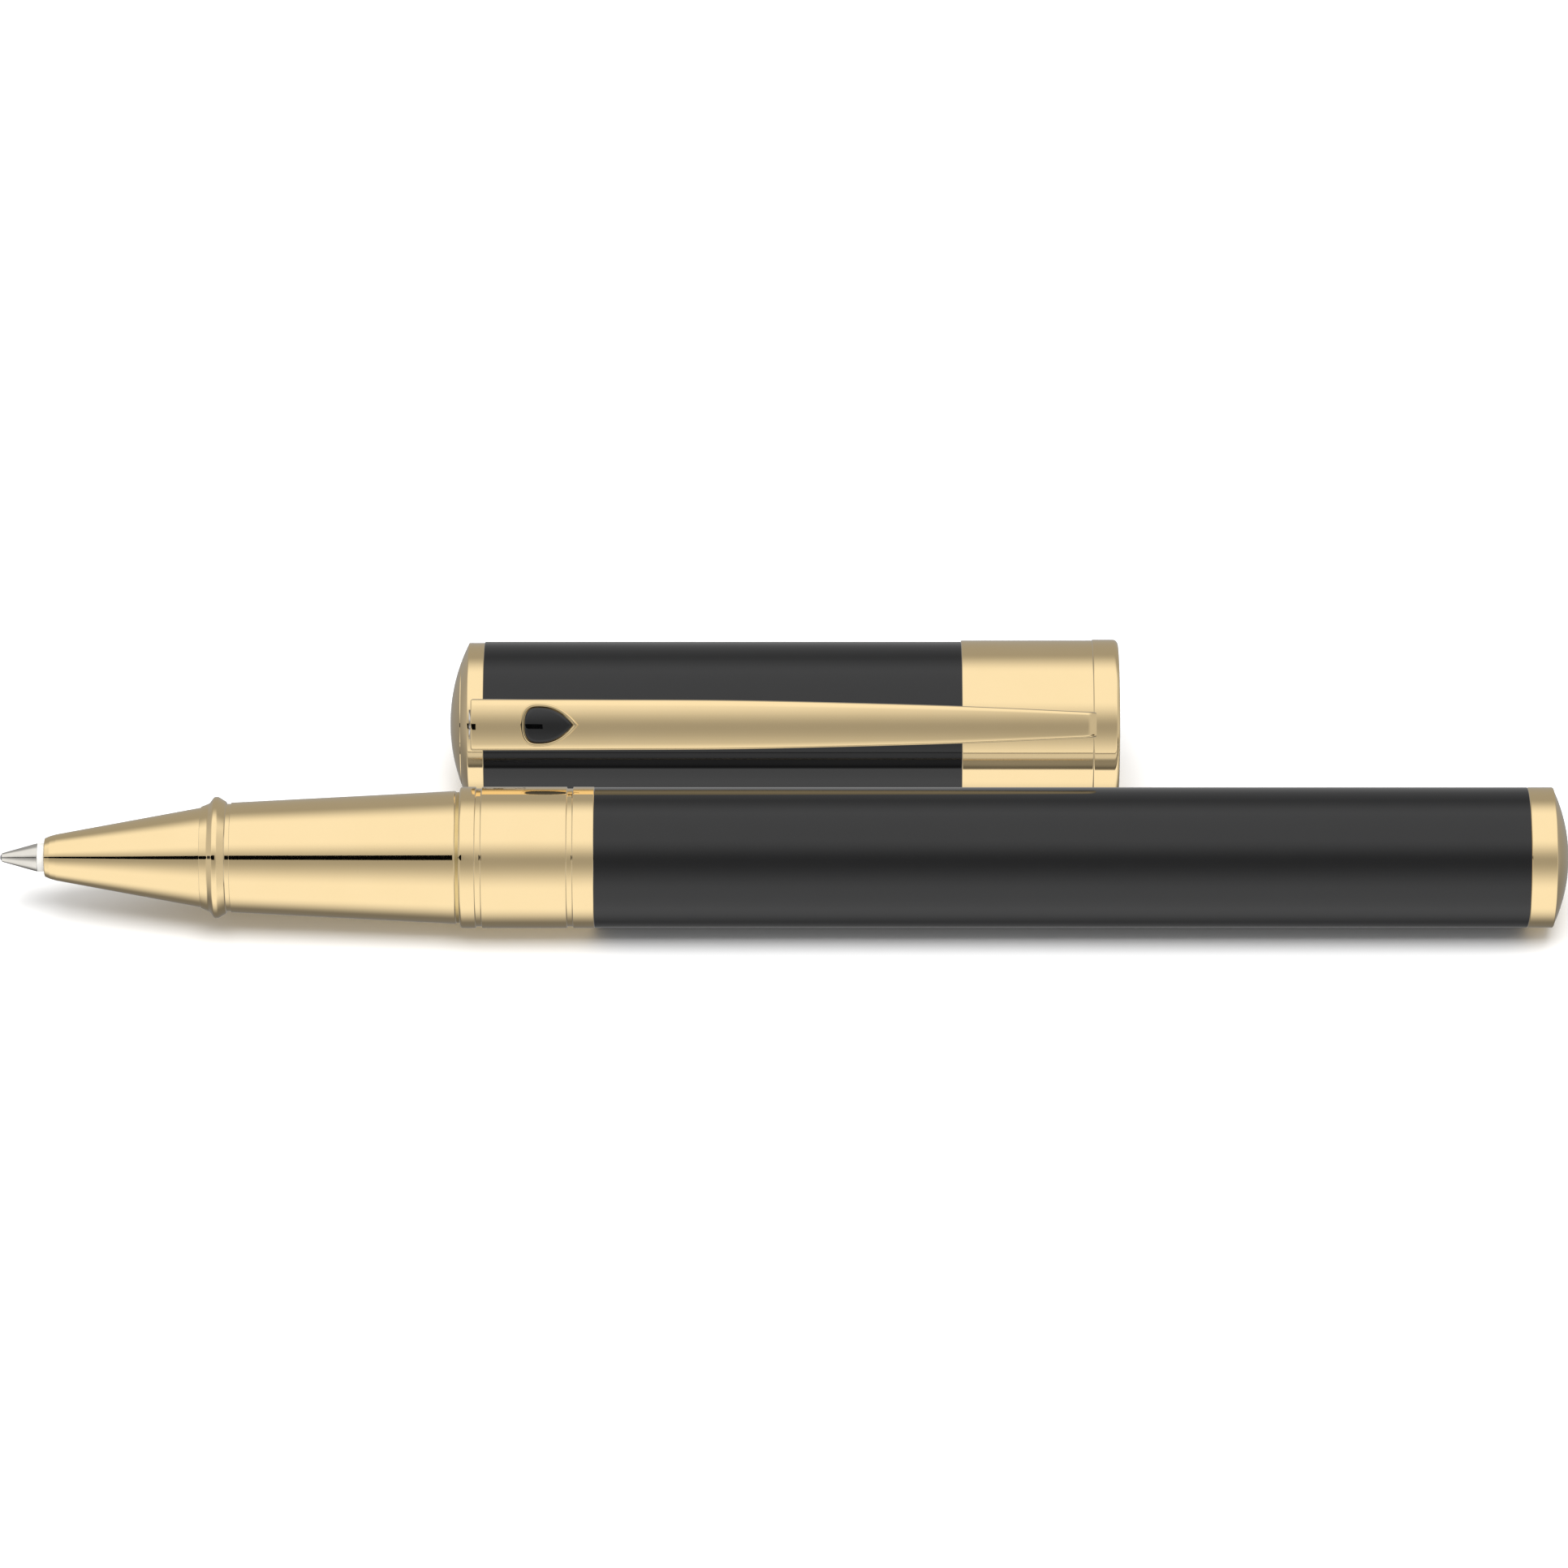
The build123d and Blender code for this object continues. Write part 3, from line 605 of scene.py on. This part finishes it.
# ---- Cap -----------------------------------------------------------------------------------
@dataclass
class Cap(Group):
    """Crown, lacquered tube, band and lip, with the lining of the mouth."""

    wall: float = 0.55
    boss: float = 2.4
    screw: float = 1.27
    engraved: tuple[float, float] = (5.29, 5.45)
    engraved_depth: float = 0.09
    slot_half: float = 1.26
    web: float = 0.2

    def build(self) -> None:
        """Builds the cap's pieces."""
        start, end = self.lie.span("cap_tube")
        band_start, band_end = self.lie.span("cap_band")
        lip_start, lip_end = self.lie.span("cap_lip_ring")
        outer = half_height("cap_tube")
        bore = outer - self.wall
        spigot = bore + 0.3
        self.crown(start, bore)
        self.turn("cap_lacquer", [
            (start, bore), (start, outer, 0.07), (band_start, outer, 0.07),
            (band_start, spigot), (end, spigot),
            (end, bore)], Slot.LACQUER, "cap_tube")
        self.turn("cap_band_gilt", tube(band_start, band_end, half_height("cap_band"), spigot + 0.02, 0.07),
                  Slot.GILT, "cap_band")
        lip, mouth = half_height("cap_lip_ring"), 6.12
        self.turn("cap_lip_gilt", [
            (lip_start, mouth), (lip_start, lip, 0.12), (lip_end, lip, 0.45), (lip_end, mouth, 0.22)],
            Slot.GILT, "cap_lip_ring")
        self.lining(mouth, bore)

    def crown(self, ring_end: float, bore: float) -> None:
        """Builds the dome and the slotted ring under it.

        Args:
            ring_end: Station where the tube starts, in mm.
            bore: Bore of the tube, in mm.
        """
        apex, boss_end = self.lie.span("crown_dome")
        ring_start, spigot_end = self.lie.span("crown_ring")
        height, rim = ring_start - apex, half_height("crown_dome")
        inner, groove_outer = self.engraved
        (floor_a, _), (floor_b, _) = dome_arc(apex, height, rim, -1, inner, groove_outer, 1)
        face = dome_arc(apex, height, rim, -1, 0.0, inner, 30)
        face += [(floor_a + self.engraved_depth, inner + 0.02, 0.02),
                 (floor_b + self.engraved_depth, groove_outer - 0.02, 0.02)]
        face += dome_arc(apex, height, rim, -1, groove_outer, rim, 10)
        self.turn("crown_dome_gilt", [
            *face, (ring_start, self.boss), (boss_end, self.boss), (boss_end, self.screw),
            (ring_start - 0.2, self.screw), (ring_start - 0.2, 0.0)], Slot.GILT, "crown_dome", closed=False)
        ring = half_height("crown_ring")
        spigot, inside = bore - 0.02, self.boss + 0.02
        split = ring_start + self.web
        self.turn("crown_ring_front", [
            (ring_start, inside), (ring_start, ring, 0.12), (split, ring), (split, inside)],
            Slot.GILT, "crown_ring")
        self.turn("crown_ring_slotted", [
            (split, inside), (split, ring), (ring_end, ring, 0.07), (ring_end, spigot), (spigot_end, spigot),
            (spigot_end, inside)], Slot.GILT, "crown_ring", gap=math.asin(self.slot_half / ring))

    def lining(self, mouth: float, bore: float) -> None:
        """Builds the bush, the clutch ring and the liner inside the cap.

        Args:
            mouth: Bore of the mouth, in mm.
            bore: Bore of the tube, in mm.
        """
        outer = bore - 0.02
        bush_start, bush_end = self.lie.span("mouth_bush")
        ring_start, ring_end = self.lie.span("clutch_ring")
        self.turn("mouth_brass", [
            (bush_start, mouth), (bush_start, outer), (bush_end, outer), (bush_end, mouth),
            (ring_end + 0.02, mouth), (ring_end + 0.02, mouth + 0.2), (ring_start - 0.02, mouth + 0.2),
            (ring_start - 0.02, mouth)], Slot.BRASS, "mouth_bush")
        self.turn("clutch", tube(ring_start, ring_end, mouth + 0.18, 6.03, 0.05), Slot.STEEL, "clutch_ring",
                  gap=0.135)
        start, end = self.lie.span("inner_cap")
        step, step_radius, liner = 23.4, 5.3, 5.78
        floor = start + 0.95
        self.turn("liner", [
            (start, self.screw), (start, outer), (end, outer), (end, liner), (step + 0.5, liner),
            (step, step_radius), (floor, step_radius), (floor, self.screw)], Slot.BLACK, "inner_cap")


@dataclass
class Clip(Group):
    """Crowned clip with a black stone in a gilt rim."""

    crown: float = 7.5
    thickness: float = 1.0
    fall: float = 0.35
    clearance: float = 7.08
    half_widths: tuple[tuple[float, float], ...] = (
        (0.0, 2.18), (0.21, 2.15), (0.42, 2.09), (0.61, 1.87), (0.8, 1.56), (1.0, 1.06))
    bevel: float = 0.17
    top: float = 9.0
    stone_front: float = 4.6
    stone_length: float = 4.2
    stone_half: float = 1.52
    stone_widest: float = 0.27
    stone_parts: int = 14

    def build(self) -> None:
        """Builds the clip, its leg, the rim and the stone."""
        start, end = self.lie.span("clip")
        self.arm(start, end)
        bm = bmesh.new()
        bmesh.ops.create_cube(bm, size=1.0)
        bmesh.ops.scale(bm, vec=(0.95, 2.4, 3.0), verts=bm.verts)
        bmesh.ops.translate(bm, vec=(start + 0.475, 0, 5.42), verts=bm.verts)
        bmesh.ops.bevel(bm, geom=bm.edges[:], offset=0.08, segments=2, affect="EDGES", profile=0.5,
                        material=-1)
        closed_and_smooth(bm)
        self.keep("clip_leg", bm, Slot.GILT, ("clip",))
        self.rim(start)
        self.stone(start)

    def half_width(self, share: float) -> float:
        """Half width of the arm, eased between the given stations.

        Args:
            share: Share of the clip's length, from its front.

        Returns:
            The half width, in mm.
        """
        table = self.half_widths
        for i in range(len(table) - 1):
            (a, wa), (b, wb) = table[i], table[i + 1]
            if share <= b:
                before = table[max(i - 1, 0)]
                after = table[min(i + 2, len(table) - 1)]
                slope_a = (wb - before[1]) / max(b - before[0], 1e-6)
                slope_b = (after[1] - wa) / max(after[0] - a, 1e-6)
                t, h = (share - a) / (b - a), b - a
                return ((2 * t**3 - 3 * t**2 + 1) * wa + (t**3 - 2 * t**2 + t) * h * slope_a
                        + (3 * t**2 - 2 * t**3) * wb + (t**3 - t**2) * h * slope_b)
        return table[-1][1]

    def ridge(self, at: float, start: float, end: float) -> float:
        """Height of the arm's ridge over the cap's axis.

        Args:
            at: Station, in mm.
            start: Station of the clip's front, in mm.
            end: Station of the clip's end, in mm.

        Returns:
            The height, in mm.
        """
        height = self.top - self.fall * (at - start) / (end - 1.2 - start)
        over = max(0.0, (at - (end - 1.3)) / 1.3)
        return height - 0.72 * (1 - math.sqrt(max(0.0, 1 - over**2)))

    def under(self, at: float, start: float, end: float) -> float:
        """Height of the arm's underside along its middle.

        Args:
            at: Station, in mm.
            start: Station of the clip's front, in mm.
            end: Station of the clip's end, in mm.

        Returns:
            The height, in mm.
        """
        root, flat = start + 1.7, self.top - self.thickness
        pad, low = end - 2.6, self.clearance + 0.12
        if at <= root:
            return 6.9
        if at <= root + 3.0:
            return 6.9 + (flat - 6.9) * (at - root) / 3.0
        if at <= pad:
            return flat - self.fall * (at - root - 3.0) / (pad - root - 3.0)
        share = (at - pad) / (end - pad)
        slope = 1 - math.sin(math.pi * min(share / 0.92, 1.0) / 2)
        return low + (flat - self.fall - low) * slope + 0.12 * share**4

    def arm(self, start: float, end: float) -> None:
        """Builds the arm from a grid for its face, extruded down to its underside.

        Args:
            start: Station of the clip's front, in mm.
            end: Station of its end, in mm.
        """
        along, across = 110, 8
        bm = bmesh.new()
        bmesh.ops.create_grid(bm, x_segments=along, y_segments=across, size=0.5)
        top = bm.verts[:]
        extruded = bmesh.ops.extrude_face_region(bm, geom=bm.faces[:])["geom"]
        low = {v for v in extruded if isinstance(v, bmesh.types.BMVert)}
        length = end - start
        for vert in top + list(low):
            share, side = vert.co.x + 0.5, vert.co.y * 2
            share = min(max(share, 0.0), 1.0)
            at = start + length * share
            width = self.half_width(share) * side
            crown = self.crown - math.sqrt(self.crown**2 - width**2)
            if vert in low:
                height = max(self.under(at, start, end), math.sqrt(self.clearance**2 - width**2))
            else:
                height = self.ridge(at, start, end) - crown
            vert.co = (at, width, height)
        bmesh.ops.recalc_face_normals(bm, faces=bm.faces)
        border = [e for e in bm.edges if e.calc_face_angle(0.0) > math.radians(45)]
        bmesh.ops.bevel(bm, geom=border, offset=self.bevel, segments=3, affect="EDGES", profile=0.5,
                        material=-1, clamp_overlap=True)
        closed_and_smooth(bm)
        self.keep("clip_arm", bm, Slot.GILT, ("clip",))

    def shield(self, start: float, margin: float) -> list[tuple[float, float]]:
        """Points of the stone's outline in plan: a bowed front, short shoulders, a point behind.

        Args:
            start: Station of the clip's front, in mm.
            margin: How far the outline is widened, in mm.

        Returns:
            The points, in mm.
        """
        front, length, half = start + self.stone_front, self.stone_length, self.stone_half
        widest, parts = self.stone_widest, self.stone_parts
        points: list[tuple[float, float]] = []
        for k in range(parts + 1):
            along = widest * (1 - math.cos(math.pi / 2 * k / parts))
            points.append((front + length * along, half * (1 - (1 - along / widest) ** 2.7) ** (1 / 2.7)))
        for k in range(1, parts + 1):
            share = k / parts
            points.append((front + length * (widest + (1 - widest) * share), half * (1 - share**2.4)))
        outline = points + [(x, -y) for x, y in reversed(points[1:-1])]
        if not margin:
            return outline
        count = len(outline)
        wide: list[tuple[float, float]] = []
        for i, point in enumerate(outline):
            here = Vector(point)
            a = (here - Vector(outline[i - 1])).normalized()
            b = (Vector(outline[(i + 1) % count]) - here).normalized()
            normal = (Vector((-a.y, a.x)) + Vector((-b.y, b.x))).normalized()
            spread = margin / max(0.55, math.sqrt(max(0.0, (1 + a.dot(b)) / 2)))
            wide.append(tuple(here + normal * spread))
        return wide

    def skin(self, rings: list[list[Corner]], closed: bool) -> bmesh.types.BMesh:
        """Joins rings that have as many points each.

        Args:
            rings: The rings, in mm.
            closed: Whether the last ring joins the first. If not, both are filled.

        Returns:
            The mesh, in mm.
        """
        bm = bmesh.new()
        loops = [[bm.verts.new(point) for point in ring] for ring in rings]
        for low, high in zip(loops, loops[1:] + (loops[:1] if closed else [])):
            for i, vert in enumerate(low):
                after = (i + 1) % len(low)
                bm.faces.new((vert, low[after], high[after], high[i]))
        if not closed:
            bm.faces.new(loops[0])
            bmesh.ops.poke(bm, faces=[bm.faces.new(loops[-1])])
        bmesh.ops.recalc_face_normals(bm, faces=bm.faces)
        return bm

    def rim(self, start: float) -> None:
        """Builds the gilt rim round the stone.

        Args:
            start: Station of the clip's front, in mm.
        """
        outer, inner, bottom, level, edge = 0.32, 0.03, self.top - 0.45, self.top + 0.2, 0.1
        section = [(outer, bottom), (outer, level - edge - 0.04)]
        for side in (1, -1):
            centre = outer - edge if side > 0 else inner + edge
            turns = [math.pi / 8 * k for k in range(5)]
            for turn in turns if side > 0 else reversed(turns):
                section.append((centre + side * edge * math.cos(turn), level - edge + edge * math.sin(turn)))
        section += [(inner, level - edge - 0.04), (inner, bottom)]
        rings: list[list[Corner]] = []
        for margin, height in section:
            rings.append([(x, y, height) for x, y in self.shield(start, margin)])
        bm = self.skin(rings, closed=True)
        closed_and_smooth(bm)
        self.keep("stone_rim", bm, Slot.GILT, ("clip_bezel",))

    def stone(self, start: float) -> None:
        """Builds the polished stone with its softly domed face.

        Args:
            start: Station of the clip's front, in mm.
        """
        bottom = self.top - 0.28
        middle = start + self.stone_front + 0.42 * self.stone_length
        sphere, peak = 6.0, bottom + 0.87
        rounding = ((1.0, 0.3), (1.0, 0.16), (0.992, 0.1), (0.975, 0.05), (0.95, 0.018), (0.915, 0.0))
        face = tuple((share, 0.0) for share in (0.83, 0.7, 0.55, 0.38, 0.2, 0.07))
        outline = self.shield(start, -0.01)
        rings: list[list[Corner]] = [[(x, y, bottom) for x, y in outline]]
        for share, drop in rounding + face:
            ring: list[Corner] = []
            for x, y in outline:
                u, v = (x - middle) * share, y * share
                ring.append((middle + u, v, peak - drop - sphere + math.sqrt(sphere**2 - u * u - v * v)))
            rings.append(ring)
        bm = self.skin(rings, closed=False)
        closed_and_smooth(bm)
        for edge in bm.edges:
            edge.smooth = edge.calc_face_angle(0.0) < math.radians(62)
        self.keep("stone", bm, Slot.ONYX, ("clip_stone",))


# ---- Studio --------------------------------------------------------------------------------
@dataclass(frozen=True)
class SoftBox:
    """A long soft white light along X, or a soft shade where its level is below nought.

    Turns are in degrees: 0 is level in front, 90 overhead.
    """

    name: str
    turn: float
    flat: float
    reach: float
    level: float


@dataclass
class Studio:
    """White floor, two long soft boxes, soft lamps, a black flag and the camera."""

    floor_size: float = 8.0
    distance: float = 0.80
    elevation: float = 40.0
    lens: float = 214.5
    aim: tuple[float, float, float] = (0.0, 0.0, 0.00673)
    room_level: float = 0.4
    end_level: float = 0.6
    key_power: float = 12.0
    fill_power: float = 1.0
    flag_distance: float = 0.12
    flag_width: float = 0.018
    flag_half: float = 0.5
    boxes: tuple[SoftBox, ...] = (
        SoftBox("overhead box", 93.0, 22.0, 58.0, 0.65),
        SoftBox("front box", -32.0, 16.0, 66.0, 0.65),
        SoftBox("shade under the table's edge", -105.0, 12.0, 55.0, -0.2))

    def sum_up(self, tree: bpy.types.NodeTree, operation: str, first: bpy.types.NodeSocket,
               second: float | bpy.types.NodeSocket = 0.0) -> bpy.types.NodeSocket:
        """Adds a math node.

        Args:
            tree: The node tree.
            operation: Its operation.
            first: Socket for its first input.
            second: Value or socket for its second input.

        Returns:
            Its output.
        """
        node = tree.nodes.new("ShaderNodeMath")
        node.operation = operation
        tree.links.new(first, node.inputs[0])
        if isinstance(second, float):
            node.inputs[1].default_value = second
        else:
            tree.links.new(second, node.inputs[1])
        return node.outputs[0]

    def faded(self, tree: bpy.types.NodeTree, value: bpy.types.NodeSocket, near: float, far: float,
              level: float, rest: float) -> bpy.types.NodeSocket:
        """Fades softly from one level to another.

        Args:
            tree: The node tree.
            value: What the fade follows.
            near: Value up to which the first level holds.
            far: Value from which the second level holds.
            level: The first level.
            rest: The second level.

        Returns:
            The faded level.
        """
        node = tree.nodes.new("ShaderNodeMapRange")
        node.interpolation_type = "SMOOTHSTEP"
        for name, number in (("From Min", near), ("From Max", far), ("To Min", level), ("To Max", rest)):
            node.inputs[name].default_value = number
        tree.links.new(value, node.inputs["Value"])
        return node.outputs["Result"]

    def light_world(self) -> None:
        """Lights the room with the long soft boxes, the same for every piece."""
        world = bpy.data.worlds.new("studio")
        bpy.context.scene.world = world
        world.use_nodes = True
        tree = world.node_tree
        place = tree.nodes.new("ShaderNodeTexCoord")
        parts = tree.nodes.new("ShaderNodeSeparateXYZ")
        tree.links.new(place.outputs["Generated"], parts.inputs["Vector"])
        forward = self.sum_up(tree, "MULTIPLY", parts.outputs["Y"], -1.0)
        turn = self.sum_up(tree, "ARCTAN2", parts.outputs["Z"], forward)
        turn = self.sum_up(tree, "MULTIPLY", turn, math.degrees(1.0))
        room = tree.nodes.new("ShaderNodeValue")
        room.outputs[0].default_value = self.room_level
        total = room.outputs[0]
        for box in self.boxes:
            away = self.sum_up(tree, "ABSOLUTE", self.sum_up(tree, "SUBTRACT", turn, box.turn))
            glow = self.faded(tree, away, box.flat, box.reach, box.level, 0.0)
            total = self.sum_up(tree, "ADD", total, glow)
            log.info("soft box %s", box.name)
        side = self.faded(tree, self.sum_up(tree, "ABSOLUTE", parts.outputs["X"]), 0.6, 0.95, 0.0, 1.0)
        blend = tree.nodes.new("ShaderNodeMix")
        blend.inputs[3].default_value = self.end_level
        tree.links.new(side, blend.inputs[0])
        tree.links.new(total, blend.inputs[2])
        tree.links.new(blend.outputs[0], tree.nodes["Background"].inputs["Strength"])
        tree.nodes["Background"].inputs["Color"].default_value = (1.0, 1.0, 1.0, 1.0)

    def lay_floor(self) -> None:
        """Lays a plain white floor with a hardly visible grain."""
        bm = bmesh.new()
        bmesh.ops.create_grid(bm, x_segments=2, y_segments=2, size=self.floor_size / 2)
        mesh = bpy.data.meshes.new("floor")
        bm.to_mesh(mesh)
        bm.free()
        floor = bpy.data.objects.new("floor", mesh)
        bpy.context.scene.collection.objects.link(floor)
        mesh.materials.append(Finish("white sweep", (0.90, 0.90, 0.90), (0.89, 0.89, 0.89), roughness=1.0,
                                     spread=0.0, grain=6.0, ior=1.0).build())
        floor.visible_glossy = False

    def add_lamp(self, name: str, place: Vector, size: tuple[float, float], power: float,
                 shadow: bool) -> None:
        """Adds a soft lamp that looks at the pen. Polished pieces don't show it.

        Args:
            name: Name of the lamp.
            place: Where it hangs, in metres.
            size: Its width and depth, in metres.
            power: Its power, in watts.
            shadow: Whether it casts shadows.
        """
        light = bpy.data.lights.new(name, "AREA")
        light.shape, light.size, light.size_y = "RECTANGLE", *size
        light.energy = power
        light.use_shadow = shadow
        lamp = bpy.data.objects.new(name, light)
        bpy.context.scene.collection.objects.link(lamp)
        lamp.location = place
        lamp.rotation_euler = (-place).to_track_quat("-Z", "Y").to_euler()
        lamp.visible_glossy = False

    def hang_flag(self) -> None:
        """Hangs a narrow black flag between the soft boxes, beside the nose and the grip."""
        low, high = (Vector(corner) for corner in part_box("barrel_tube"))
        lift = math.radians(self.elevation)
        toward = Vector((0.0, -math.cos(lift), math.sin(lift)))
        middle = (low + high) / 2
        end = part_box("front_band")[0][0] * (1 + self.flag_distance / self.distance)
        middle.x = end - self.flag_half
        bm = bmesh.new()
        bmesh.ops.create_grid(bm, x_segments=1, y_segments=1, size=self.flag_half)
        bmesh.ops.scale(bm, vec=(1.0, self.flag_width / (2 * self.flag_half), 1.0), verts=bm.verts)
        mesh = bpy.data.meshes.new("flag")
        bm.to_mesh(mesh)
        bm.free()
        flag = bpy.data.objects.new("flag", mesh)
        bpy.context.scene.collection.objects.link(flag)
        flag.location = middle + toward * self.flag_distance
        flag.rotation_euler = (math.pi / 2 - lift, 0.0, 0.0)
        mesh.materials.append(Finish("black cloth", (0.002, 0.002, 0.002), (0.001, 0.001, 0.001),
                                     roughness=1.0, spread=0.0, ior=1.0).build())
        flag.visible_camera = flag.visible_diffuse = flag.visible_shadow = False

    def set_camera(self) -> None:
        """Sets the camera in front of and above the pen."""
        camera = bpy.data.cameras.new("camera")
        camera.lens = self.lens
        camera.sensor_width = 36.0
        camera.clip_start, camera.clip_end = 0.01, 50.0
        view = bpy.data.objects.new("camera", camera)
        bpy.context.scene.collection.objects.link(view)
        lift = math.radians(self.elevation)
        offset = Vector((0.0, -math.cos(lift), math.sin(lift))) * self.distance
        view.location = Vector(self.aim) + offset
        view.rotation_euler = (math.pi / 2 - lift, 0.0, 0.0)
        bpy.context.scene.camera = view

    def build(self) -> None:
        """Sets up the whole studio."""
        bpy.context.scene.view_settings.view_transform = "Standard"
        self.light_world()
        self.lay_floor()
        self.add_lamp("key", Vector((0.0, -0.33, 1.15)), (0.8, 0.6), self.key_power, shadow=True)
        self.add_lamp("fill", Vector((0.0, 0.3, 1.3)), (1.0, 1.0), self.fill_power, shadow=False)
        self.hang_flag()
        self.set_camera()


# ---- Whole pen -----------------------------------------------------------------------------
CARRIED: dict[str, Slot] = {
    "tail_plug": Slot.BRASS, "spring_seat": Slot.BLACK, "refill_spring": Slot.STEEL, "ink_feed": Slot.FIBRE,
    "ink_reservoir": Slot.FIBRE, "refill_tube": Slot.REFILL, "refill_end_plug": Slot.WHITE,
    "clip_pin": Slot.STEEL, "clip_spring": Slot.STEEL, "crown_screw": Slot.STEEL,
}


class Rollerball:
    """The pen and its cap, with the nodes that are shown as they are."""

    def __init__(self) -> None:
        """Finds where the pen and the cap lie."""
        self.shelf = Shelf()
        low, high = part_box("barrel_tube")
        self.pen = Lie(Vector((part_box("tip_ball")[0].x, (low.y + high.y) / 2, (low.z + high.z) / 2)) / MM)
        low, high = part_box("cap_lip_ring")
        centre = Vector((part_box("crown_dome")[0].x, (low.y + high.y) / 2, (low.z + high.z) / 2)) / MM
        stone = (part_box("clip_stone")[0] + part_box("clip_stone")[1]) / 2 / MM - centre
        self.cap = Lie(centre, math.atan2(-stone.y, stone.z))

    def build(self) -> list[bpy.types.Object]:
        """Builds every piece and gives the carried nodes their finishes.

        Returns:
            The pieces that were built.
        """
        groups: list[Group] = [
            Barrel(self.pen, "barrel", self.shelf), GripSection(self.pen, "grip_section", self.shelf),
            Refill(self.pen, "refill", self.shelf), Cap(self.cap, "cap", self.shelf),
            Clip(self.cap, "clip", self.shelf)]
        pieces: list[bpy.types.Object] = []
        for group in groups:
            group.build()
            pieces += group.pieces
        for name, slot in CARRIED.items():
            node = frame["nodes"][name]
            node.data.materials.clear()
            node.data.materials.append(self.shelf.get(slot))
            log.info("%s keeps its own mesh, %s", name, slot.value)
        return pieces


def main() -> None:
    """Builds the pen in its studio and lets only the clip's pieces show in reflections."""
    logging.basicConfig(level=logging.INFO, format="%(message)s")
    for piece in Rollerball().build():
        piece.visible_glossy = piece["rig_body"] == "clip"
    Studio().build()


if __name__ == "__main__":
    main()
